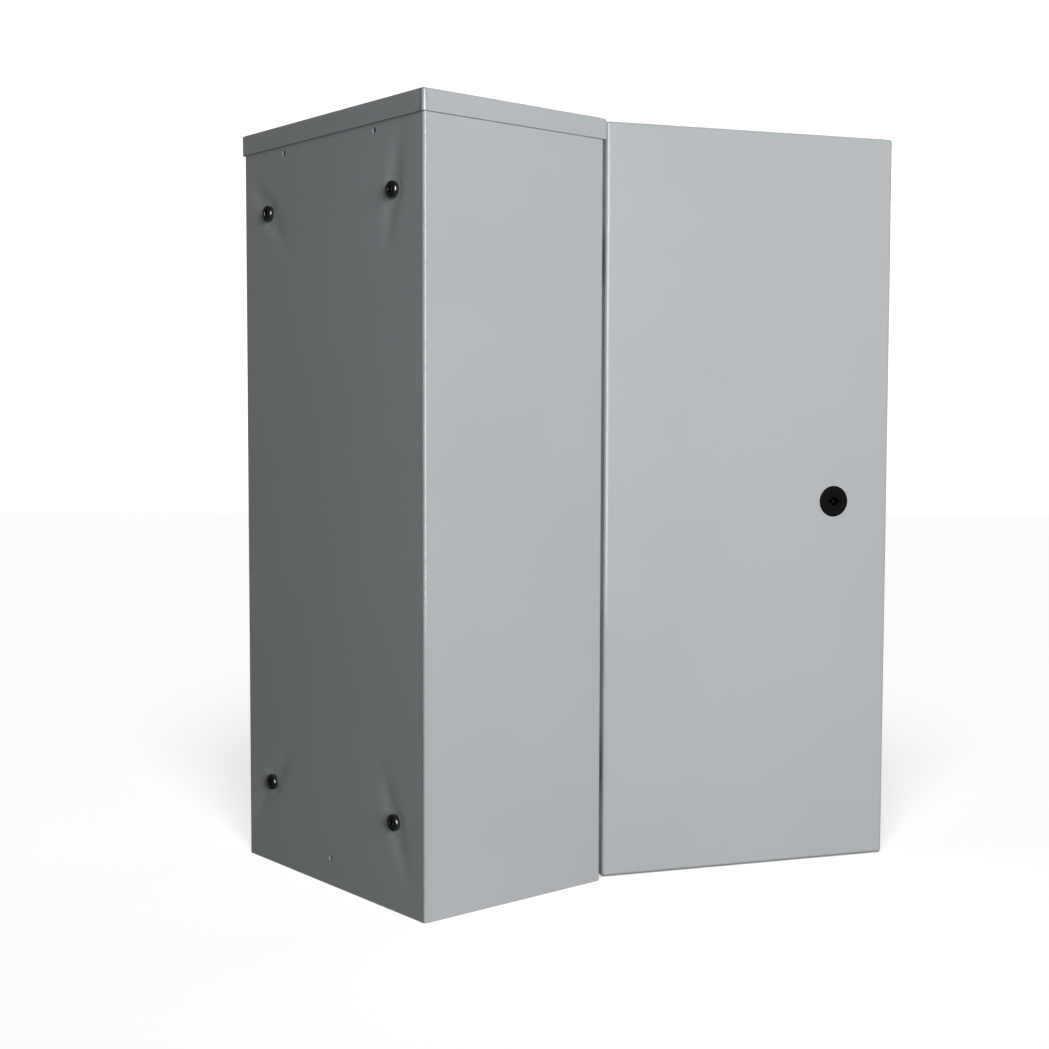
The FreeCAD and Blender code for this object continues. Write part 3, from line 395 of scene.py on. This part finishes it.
def fineEdges(mesh, limit=35.0):
    # smooth faces with hard edges where they meet at more than limit degrees
    for face in mesh.faces:
        face.smooth = True
    for edge in mesh.edges:
        edge.smooth = len(edge.link_faces) == 2 and edge.calc_face_angle() < math.radians(limit)


def addPiece(name, mesh, body, slot, replaced):
    bmesh.ops.recalc_face_normals(mesh, faces=mesh.faces)
    fineEdges(mesh)
    data = bpy.data.meshes.new(name)
    mesh.to_mesh(data)
    mesh.free()
    piece = bpy.data.objects.new(name, data)
    bpy.context.collection.objects.link(piece)
    dress(piece, finishes[slot])
    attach(piece, body)
    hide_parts(replaced)


# back wall

backWall = {
    "sheet": 0.0015,
    "bend": 0.0025,             # outside radius
    "bendSteps": 6,
    "headRadius": 0.007,        # of the bolts in it
    "boltHole": 0.0045,
    "boltSides": 40,
    "boltRings": (1.0, 1.35, 1.55, 1.8, 2.05, 2.3, 2.6, 3.0, 3.5, 4.1),    # shares of the hole's radius
    "smallHole": 0.0025,
    "smallHoles": ((-0.0695, 0.636), (0.0695, 0.636), (0.0, 0.024)),
    "smallSides": 24,
    "smallRings": (1.0, 1.5),
    "ringGap": 0.0018,          # from the last ring to the rows of points
    "seat": 0.0068,             # radius that stays flat under a bolt's head
    "pull": 0.0012,             # how far each bolt draws the sheet in
    "closeReach": 0.0044,
    "wideReach": 0.024,
    "wideShare": 0.26,
    "creaseStart": 0.006,
    "creaseDepth": 0.00100,
    "creaseWidth": 0.0085,
    "creaseLength": 0.034,
    "heldEdge": 0.022,          # the pull dies out this near the upright bends
    "fineStep": 0.0025,
    "fineAcross": 0.045,        # the fine step is used this near a bolt
    "fineUp": 0.06,
    "wideStep": 0.011,
}
boltLow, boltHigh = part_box("wall_bolts")
boltSide = boltHigh[0] - backWall["headRadius"]
boltTop = boltHigh[2] - backWall["headRadius"]
boltBottom = boltLow[2] + backWall["headRadius"]
boltMiddle = (boltTop + boltBottom) / 2
bolts = (
    # x, z, lean of the crease that runs from the bolt to the panel's corner
    (-boltSide, boltTop, 0.20),
    (-boltSide, boltBottom, 0.40),
    (boltSide, boltTop, 0.75),
    (boltSide, boltBottom, 0.75),
)


def drawnIn(x, z, halfWidth):
    # how far the sheet at x, z lies behind its own plane
    wall = backWall
    depth = 0.0
    for boltX, boltZ, lean in bolts:
        dx, dz = x - boltX, z - boltZ
        past = max(0.0, math.hypot(dx, dz) - wall["seat"])
        close = (1 - wall["wideShare"]) * math.exp(-(past / wall["closeReach"]) ** 2)
        wide = wall["wideShare"] * math.exp(-past / wall["wideReach"])
        up = 1 if boltZ > boltMiddle else -1
        out = 1 if boltX > 0 else -1
        along = Vector((out * math.sin(lean), up * math.cos(lean)))
        run = dx * along.x + dz * along.y
        across = dx * along.y - dz * along.x
        crease = math.exp(-(across / wall["creaseWidth"]) ** 2 - (run / wall["creaseLength"]) ** 2)
        begun = 1 - math.exp(-(past / wall["creaseStart"]) ** 2)
        depth += wall["pull"] * (close + wide) + wall["creaseDepth"] * crease * begun
    near = min(1.0, (halfWidth - abs(x)) / wall["heldEdge"])
    free = near * near * (3 - 2 * near) if near > 0 else 0.0
    return min(depth * free, wall["pull"])


def spread(low, high, centres, fine, coarse, reach):
    # values from low to high, close together near the centres
    places = [low]
    while places[-1] < high:
        last = places[-1]
        closeBy = min(abs(last - centre) for centre in centres)
        places.append(last + (fine if closeBy < reach else coarse))
    scale = (high - low) / (places[-1] - low)
    return [low + (place - low) * scale for place in places]


def makeBackWall():
    wall = backWall
    low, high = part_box("back_panel")
    halfWidth, back, top = high[0], high[1], high[2]
    bend, sheet, steps = wall["bend"], wall["sheet"], wall["bendSteps"]
    returnRun = back - bend - low[1]
    arcRun = math.pi / 2 * bend
    flat = 2 * (halfWidth - bend)
    total = 2 * (returnRun + arcRun) + flat
    middle = total / 2

    def wrapped(s, z, depth):
        # s runs round the sheet from one return to the other
        side = 1 if s > middle else -1
        past = abs(s - middle) - flat / 2
        if past <= 0:
            x = s - middle
            return Vector((x, back - depth - drawnIn(x, z, halfWidth), z))
        if past < arcRun:
            turn = past / bend
            return Vector((side * (halfWidth - bend + (bend - depth) * math.sin(turn)),
                           back - bend + (bend - depth) * math.cos(turn), z))
        return Vector((side * (halfWidth - depth), back - bend - (past - arcRun), z))

    holes = [(x + middle, z, wall["smallHole"], wall["smallRings"], wall["smallSides"])
             for x, z in wall["smallHoles"]]
    holes += [(x + middle, z, wall["boltHole"], wall["boltRings"], wall["boltSides"]) for x, z, lean in bolts]

    # rows of points, closer round the bolts and over the bends
    bendLines = [arcRun * k / steps for k in range(1, steps + 1)]
    sLines = [0.0, returnRun / 2] + [returnRun + k - arcRun / steps for k in bendLines]
    sLines += spread(middle - flat / 2, middle + flat / 2, [middle + side * boltSide for side in (-1, 1)],
                     wall["fineStep"], wall["wideStep"], wall["fineAcross"])
    sLines += [middle + flat / 2 + k for k in bendLines] + [total - returnRun / 2, total]
    zLines = spread(0.0, top, (boltTop, boltBottom), wall["fineStep"], wall["wideStep"], wall["fineUp"])
    points = []
    for s in sLines:
        for z in zLines:
            if all(math.hypot(s - hs, z - hz) > radius * rings[-1] + wall["ringGap"]
                   for hs, hz, radius, rings, count in holes):
                points.append(Vector((s, z)))

    # rings of points round each hole; the first is the hole's edge
    holeEdges = []
    for hs, hz, radius, rings, count in holes:
        for grow in rings:
            first = len(points)
            for k in range(count):
                angle = 2 * math.pi * k / count
                points.append(Vector((hs + radius * grow * math.cos(angle),
                                      hz + radius * grow * math.sin(angle))))
            if grow == rings[0]:
                holeEdges += [(first + k, first + (k + 1) % count) for k in range(count)]
    spots, edges, faces = delaunay_2d_cdt(points, holeEdges, [], 0, 1e-7)[:3]

    mesh = bmesh.new()
    outer = [mesh.verts.new(wrapped(spot.x, spot.y, 0.0)) for spot in spots]
    inner = [mesh.verts.new(wrapped(spot.x, spot.y, sheet)) for spot in spots]
    for face in faces:
        centre = sum((spots[k] for k in face), Vector((0, 0))) / len(face)
        if all(math.hypot(centre.x - hs, centre.y - hz) > radius for hs, hz, radius, rings, count in holes):
            mesh.faces.new([outer[k] for k in face])
            mesh.faces.new([inner[k] for k in reversed(face)])
    partner = dict(zip(outer, inner))
    for edge in [edge for edge in mesh.edges if len(edge.link_faces) == 1 and edge.verts[0] in partner]:
        a, b = edge.verts
        mesh.faces.new((a, b, partner[b], partner[a]))
    bmesh.ops.delete(mesh, geom=[v for v in mesh.verts if not v.link_faces], context="VERTS")
    addPiece("back_wall_sheet", mesh, "cabinet", "painted_sheet", "back_panel")


makeBackWall()
print("back wall folded")


# screws and studs

thread = {
    "depth": 0.55,              # as a share of the pitch
    "rings": 6,                 # to each turn
    "tipRun": 0.8,              # of a pitch, over which the tip tapers
    "tipDepth": 0.9,            # of the thread's depth
}
hexSocket = {
    "centreShare": 0.55,        # the sunk centre of the socket's floor, as a share of the hexagon
    "centreDip": 0.0006,
    "edge": 0.0003,             # broken edge at the top
}
domeSteps = 7
underEdge = 0.0002              # broken edge under a round head


def hexRadius(angle, flats):
    # distance from the middle to the side of a hexagon, in the direction angle
    wedge = math.radians(60)
    return flats / 2 / math.cos((angle + wedge / 2) % wedge - wedge / 2)


def headOutline(kind):
    # radius and height, from the top of the head to where the shank starts
    if "headRadius" in kind:
        radius, height, flat, rim = (kind[key] for key in ("headRadius", "headHeight", "headFlat", "headRim"))
        outline = [(flat, height)]
        for k in range(1, domeSteps + 1):
            angle = math.radians(90 * k / domeSteps)
            outline.append((flat + (radius - flat) * math.sin(angle), rim + (height - rim) * math.cos(angle)))
        return outline + [(radius, underEdge), (radius - underEdge, 0.0)]
    if "collarRadius" in kind:
        return [(kind["collarRadius"], 0.0), (kind["collarRadius"], -kind["collarDepth"])]
    return []


def screwMesh(mesh, kind, spot, way):
    # rings from the head's socket, over the head and down a cut thread to the tip
    turn = Vector((0, 0, 1)).rotation_difference(Vector(way)).to_matrix()
    sides, pitch, length = kind["sides"], kind["pitch"], kind["length"]
    angles = [2 * math.pi * k / sides for k in range(sides)]
    rings = []
    if "socket" in kind:
        flats, top = kind["socket"], kind["headHeight"]
        floor = top - kind["socketDepth"]
        rings.append([(hexRadius(a, flats) * hexSocket["centreShare"], a, floor - hexSocket["centreDip"])
                      for a in angles])
        rings.append([(hexRadius(a, flats), a, floor) for a in angles])
        rings.append([(hexRadius(a, flats), a, top - hexSocket["edge"]) for a in angles])
        rings.append([(hexRadius(a, flats) + hexSocket["edge"], a, top) for a in angles])
    for radius, height in headOutline(kind):
        rings.append([(radius, a, height) for a in angles])
    cut = pitch * thread["depth"]
    steps = int(length / pitch * thread["rings"])
    for k in range(steps + 1):
        along = length * k / steps
        ease = min(1.0, max(0.0, along - kind.get("plain", 0.0)) / pitch)
        taper = max(0.0, 1 - (length - along) / (pitch * thread["tipRun"])) * cut * thread["tipDepth"]
        ring = []
        for a in angles:
            phase = (along / pitch - a / (2 * math.pi)) % 1.0
            groove = 1 - abs(2 * phase - 1)
            radius = max(kind["radius"] - cut, kind["radius"] - cut * groove * ease - taper)
            ring.append((radius, a, -kind.get("collarDepth", 0.0) - along))
        rings.append(ring)
    loops = []
    for ring in rings:
        loop = []
        for radius, a, height in ring:
            local = Vector((radius * math.cos(a), radius * math.sin(a), height))
            loop.append(mesh.verts.new(Vector(spot) + turn @ local))
        loops.append(loop)
    for low, high in zip(loops, loops[1:]):
        for k in range(sides):
            mesh.faces.new((low[k], low[(k + 1) % sides], high[(k + 1) % sides], high[k]))
    for loop in (loops[0], loops[-1]):
        centre = mesh.verts.new(sum((v.co for v in loop), Vector()) / sides)
        for k in range(sides):
            mesh.faces.new((loop[k], loop[(k + 1) % sides], centre))


wallBolt = {
    "radius": 0.004,
    "pitch": 0.00125,
    "length": 0.035,
    "plain": 0.006,             # shank without thread
    "headRadius": backWall["headRadius"],
    "headHeight": 0.0044,
    "headFlat": 0.00545,        # radius of the flat top
    "headRim": 0.00285,         # straight side of the head
    "socket": 0.005,
    "socketDepth": 0.0026,
    "sides": 36,
}
smallScrew = {
    "radius": 0.003,
    "pitch": 0.001,
    "length": 0.014,
    "headRadius": 0.00525,
    "headHeight": 0.0033,
    "headFlat": 0.00378,
    "headRim": 0.00183,
    "socket": 0.004,
    "socketDepth": 0.002,
    "sides": 20,
}
lidStud = {"radius": 0.003, "pitch": 0.001, "length": 0.020, "sides": 20}
earthStud = {"radius": 0.003, "pitch": 0.001, "length": 0.018, "sides": 20}
glandStud = {
    "radius": 0.003,
    "pitch": 0.001,
    "length": 0.0145,
    "collarRadius": 0.0033,     # pressed into the floor
    "collarDepth": 0.0015,
    "sides": 20,
}
holePitch = 0.025               # of the holes in the uprights


def ends(node, axis, radius):
    # the first and last middle of a node's round things along an axis
    low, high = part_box(node)
    return low[axis] + radius, high[axis] - radius


def cutWallBolts():
    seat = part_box("back_panel")[1][1] - backWall["pull"]
    mesh = bmesh.new()
    for x, z, lean in bolts:
        screwMesh(mesh, wallBolt, (x, seat, z), (0, 1, 0))
    addPiece("wall_bolts_cut", mesh, "cabinet", "bolt_steel", "wall_bolts")


def cutScrews(node, levels):
    # a node's round-headed screws, in two columns
    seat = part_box(node)[0][1] + smallScrew["headHeight"]
    mesh = bmesh.new()
    for x in ends(node, 0, smallScrew["headRadius"]):
        for z in levels(*ends(node, 2, smallScrew["headRadius"])):
            screwMesh(mesh, smallScrew, (x, seat, z), (0, -1, 0))
    addPiece(node + "_cut", mesh, "cabinet", "plated_steel", node)


def cutStuds(node, kind):
    # four upright studs, standing on the bottom of the node's box
    widest = kind.get("collarRadius", kind["radius"])
    mesh = bmesh.new()
    for x in ends(node, 0, widest):
        for y in ends(node, 1, widest):
            screwMesh(mesh, kind, (x, y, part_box(node)[0][2]), (0, 0, -1))
    addPiece(node + "_cut", mesh, "cabinet", "plated_steel", node)


def cutEarthStud(node, body, way):
    low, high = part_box(node)
    mesh = bmesh.new()
    screwMesh(mesh, earthStud, (low + high) / 2 - way * earthStud["length"] / 2, -way)
    addPiece(node + "_cut", mesh, body, "plated_steel", node)


cutWallBolts()
print("wall bolts cut")
cutScrews("tray_screws", lambda low, high: (low, low + holePitch, high - holePitch, high))
cutScrews("rail_screws", lambda low, high: (low,))
cutStuds("lid_studs", lidStud)
cutStuds("gland_plate_studs", glandStud)
cutEarthStud("body_earth_stud", "cabinet", Vector((1, 0, 0)))
cutEarthStud("door_earth_stud", "door", Vector((-math.sin(doorTurn), math.cos(doorTurn), 0)))
print("small screws and studs cut")


# floor, light and camera

eye = {
    "lens": 53.83,
    "place": (-1.13374, 0.82579, 0.39747),
    "yaw": -39.919,
    "pitch": -3.571,
    "roll": 0.153,
}
studio = {
    "floorTone": (0.85, 0.852, 0.855),
    "floorDark": 0.985,
    "floorPatch": 0.6,
    "floorRough": 0.75,
    "floorPatchRough": 0.1,
    "floorReach": 9.0,
    "floorColumns": (-12, -4, 4, 12),
    "floorGlow": 0.30,
    "sweepRadius": 3.5,
    "sweepHeight": 7.0,
    "sweepSteps": 12,
    "shownSky": (1.0, 1.0, 1.0),
    "fill": (0.93, 1.0, 0.97),
    "fillStrength": 0.042,
}
wash = {
    "strength": 3.45,
    "spread": 0.7,
    "back": 4.0,                # how far it stands towards the camera from the cabinet
    "height": 6.0,
    "aim": 2.0,                 # how far behind the cabinet it points
}
lamps = {
    "window": {"place": (-3.1, 0.66, 0.92), "aim": (-0.14, 0.0, 0.36), "size": (1.5, 2.2),
               "power": 100.0, "tint": (1.0, 1.0, 1.0)},
    "strip": {"place": (-1.17, 2.04, 0.72), "aim": (-0.14, 0.09, 0.42), "size": (0.12, 1.5),
              "power": 4.5, "tint": (1.0, 1.0, 1.0)},
    "front fill": {"place": (1.3, -2.3, 1.7), "aim": (0.0, -0.1, 0.33), "size": (1.8, 1.8),
                   "power": 105.0, "tint": (1.0, 0.985, 0.96)},
}


def makeCamera():
    data = bpy.data.cameras.new("camera")
    data.sensor_width = 36.0
    data.lens = eye["lens"]
    data.clip_start = 0.01
    data.clip_end = 60.0
    camera = bpy.data.objects.new("camera", data)
    bpy.context.collection.objects.link(camera)
    yaw, pitch, roll = (math.radians(eye[key]) for key in ("yaw", "pitch", "roll"))
    ahead = Vector((math.cos(pitch) * math.cos(yaw), math.cos(pitch) * math.sin(yaw), math.sin(pitch)))
    camera.rotation_mode = "QUATERNION"
    camera.rotation_quaternion = ahead.to_track_quat("-Z", "Y") @ Quaternion((0, 0, 1), roll)
    camera.location = eye["place"]
    bpy.context.scene.camera = camera
    return Vector((ahead.x, ahead.y, 0)).normalized()


def makeFloor(away):
    # a floor that sweeps up into a backdrop behind the cabinet
    side = Vector((-away.y, away.x, 0))
    reach, radius, steps = studio["floorReach"], studio["sweepRadius"], studio["sweepSteps"]
    line = [(-reach, 0.0), (reach - radius, 0.0)]
    for step in range(1, steps + 1):
        angle = math.radians(90 * step / steps)
        line.append((reach - radius + radius * math.sin(angle), radius * (1 - math.cos(angle))))
    line.append((reach, studio["sweepHeight"]))
    mesh = bmesh.new()
    rows = []
    for along, height in line:
        middle = away * along + Vector((0, 0, height))
        rows.append([mesh.verts.new(middle + side * across) for across in studio["floorColumns"]])
    for low, high in zip(rows, rows[1:]):
        for k in range(len(low) - 1):
            face = mesh.faces.new((low[k], high[k], high[k + 1], low[k + 1]))
            face.smooth = True
    data = bpy.data.meshes.new("floor")
    mesh.to_mesh(data)
    mesh.free()
    floor = bpy.data.objects.new("floor", data)
    bpy.context.collection.objects.link(floor)
    floor.visible_diffuse = False      # its own wash of light stays off the cabinet
    floor.visible_glossy = False
    finish = Finish("pale floor")
    slow = finish.noise(studio["floorPatch"], detail=3.0)
    tone = studio["floorTone"]
    base = finish.mix(slow, colour(tone, studio["floorDark"]), colour(tone))
    rough = studio["floorRough"] + slow * studio["floorPatchRough"]
    dress(floor, finish.shade(Base_Color=base, Roughness=rough, Specular_IOR_Level=0.0,
                             Emission_Color=colour(tone), Emission_Strength=studio["floorGlow"]))
    return floor


def placeLamp(data, place, aim):
    lamp = bpy.data.objects.new(data.name, data)
    lamp.location = place
    lamp.rotation_mode = "QUATERNION"
    lamp.rotation_quaternion = (Vector(aim) - Vector(place)).to_track_quat("-Z", "Y")
    bpy.context.collection.objects.link(lamp)
    return lamp


def cabinetLamp(name, kind, floor):
    # a soft box that lights the cabinet and not the floor
    data = bpy.data.lights.new(name, "AREA")
    data.shape = "RECTANGLE"
    data.size, data.size_y = kind["size"]
    data.energy = kind["power"]
    data.color = kind["tint"]
    lamp = placeLamp(data, kind["place"], kind["aim"])
    offFloor = bpy.data.collections.new(name + " stays off this")
    offFloor.objects.link(floor)
    offFloor.collection_objects[0].light_linking.link_state = "EXCLUDE"
    lamp.light_linking.receiver_collection = offFloor


def washFloor(floor, away):
    # an even light that only the floor gets
    data = bpy.data.lights.new("floor wash", "SUN")
    data.energy = wash["strength"]
    data.angle = wash["spread"]
    lamp = placeLamp(data, -away * wash["back"] + Vector((0, 0, wash["height"])), away * wash["aim"])
    onlyFloor = bpy.data.collections.new("washed by the floor light")
    onlyFloor.objects.link(floor)
    lamp.light_linking.receiver_collection = onlyFloor


def makeSky():
    # white where it is seen, dim where it lights
    world = bpy.data.worlds.new("studio")
    world.use_nodes = True
    nodes, links = world.node_tree.nodes, world.node_tree.links
    dim = nodes["Background"]
    dim.inputs["Color"].default_value = colour(studio["fill"])
    dim.inputs["Strength"].default_value = studio["fillStrength"]
    shown = nodes.new("ShaderNodeBackground")
    shown.inputs["Color"].default_value = colour(studio["shownSky"])
    path = nodes.new("ShaderNodeLightPath")
    both = nodes.new("ShaderNodeMixShader")
    links.new(path.outputs["Is Camera Ray"], both.inputs["Fac"])
    links.new(dim.outputs["Background"], both.inputs[1])
    links.new(shown.outputs["Background"], both.inputs[2])
    links.new(both.outputs["Shader"], nodes["World Output"].inputs["Surface"])
    bpy.context.scene.world = world


awayFromCamera = makeCamera()
studioFloor = makeFloor(awayFromCamera)
washFloor(studioFloor, awayFromCamera)
makeSky()
bpy.context.scene.view_settings.view_transform = "Standard"
for name, kind in lamps.items():
    cabinetLamp(name, kind, studioFloor)
print("studio ready")


# the end

print("scene built")
